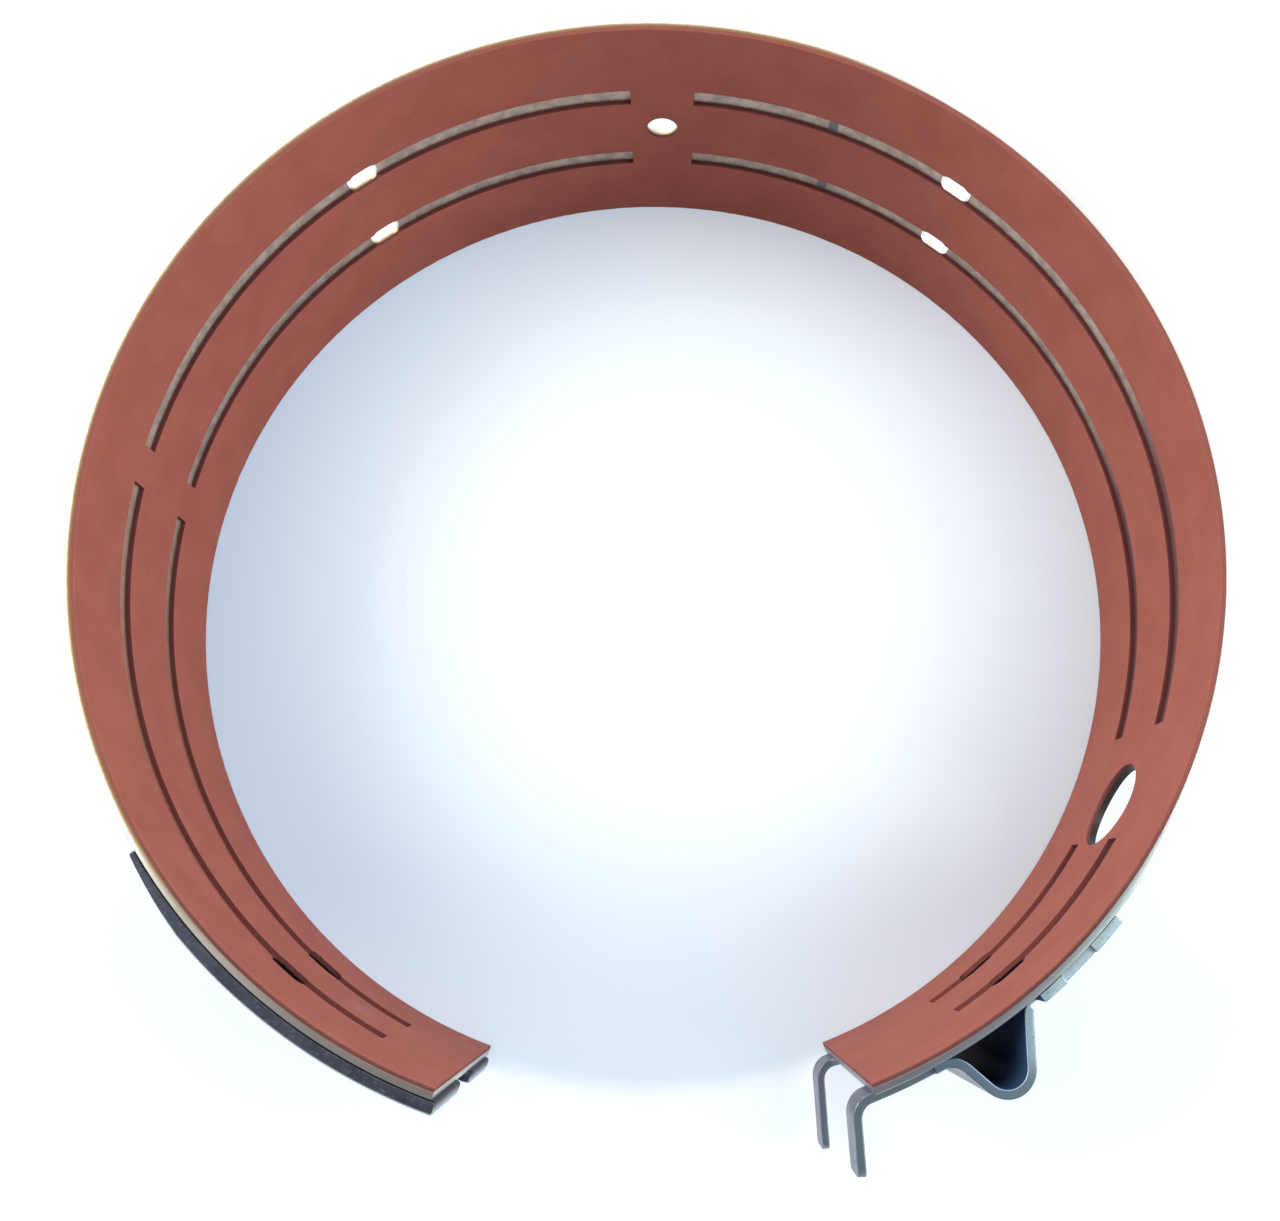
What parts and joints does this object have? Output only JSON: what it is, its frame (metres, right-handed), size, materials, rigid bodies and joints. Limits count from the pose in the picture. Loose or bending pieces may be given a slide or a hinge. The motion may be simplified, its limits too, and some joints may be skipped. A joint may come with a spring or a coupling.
{
  "type": "transmission band",
  "caption": "Wide open steel band lined with grooved friction material, with a notched anchor bracket on one end and a looped, forked apply bracket on the other.",
  "frame": {"origin": "on the axis of the drum that the band grips, level with the band's lower edge", "axes": "+Z along the drum's axis, from the edge it rests on to the other; the open gap faces -Y, the anchor end is on its -X side and the apply end on its +X side"},
  "size_m": [0.199, 0.2096, 0.0585],
  "materials": {
    "strap_steel": "bare rolled steel with bright sheared edges",
    "lining": "matt resin-bonded friction paper",
    "anchor_steel": "dark oiled hot-rolled steel",
    "apply_steel": "oiled pressed steel"
  },
  "bodies": {
    "root": {"band_strap": "strap_steel", "friction_lining": "lining", "anchor_bracket": "anchor_steel", "apply_bracket": "apply_steel"}
  },
  "joints": []
}
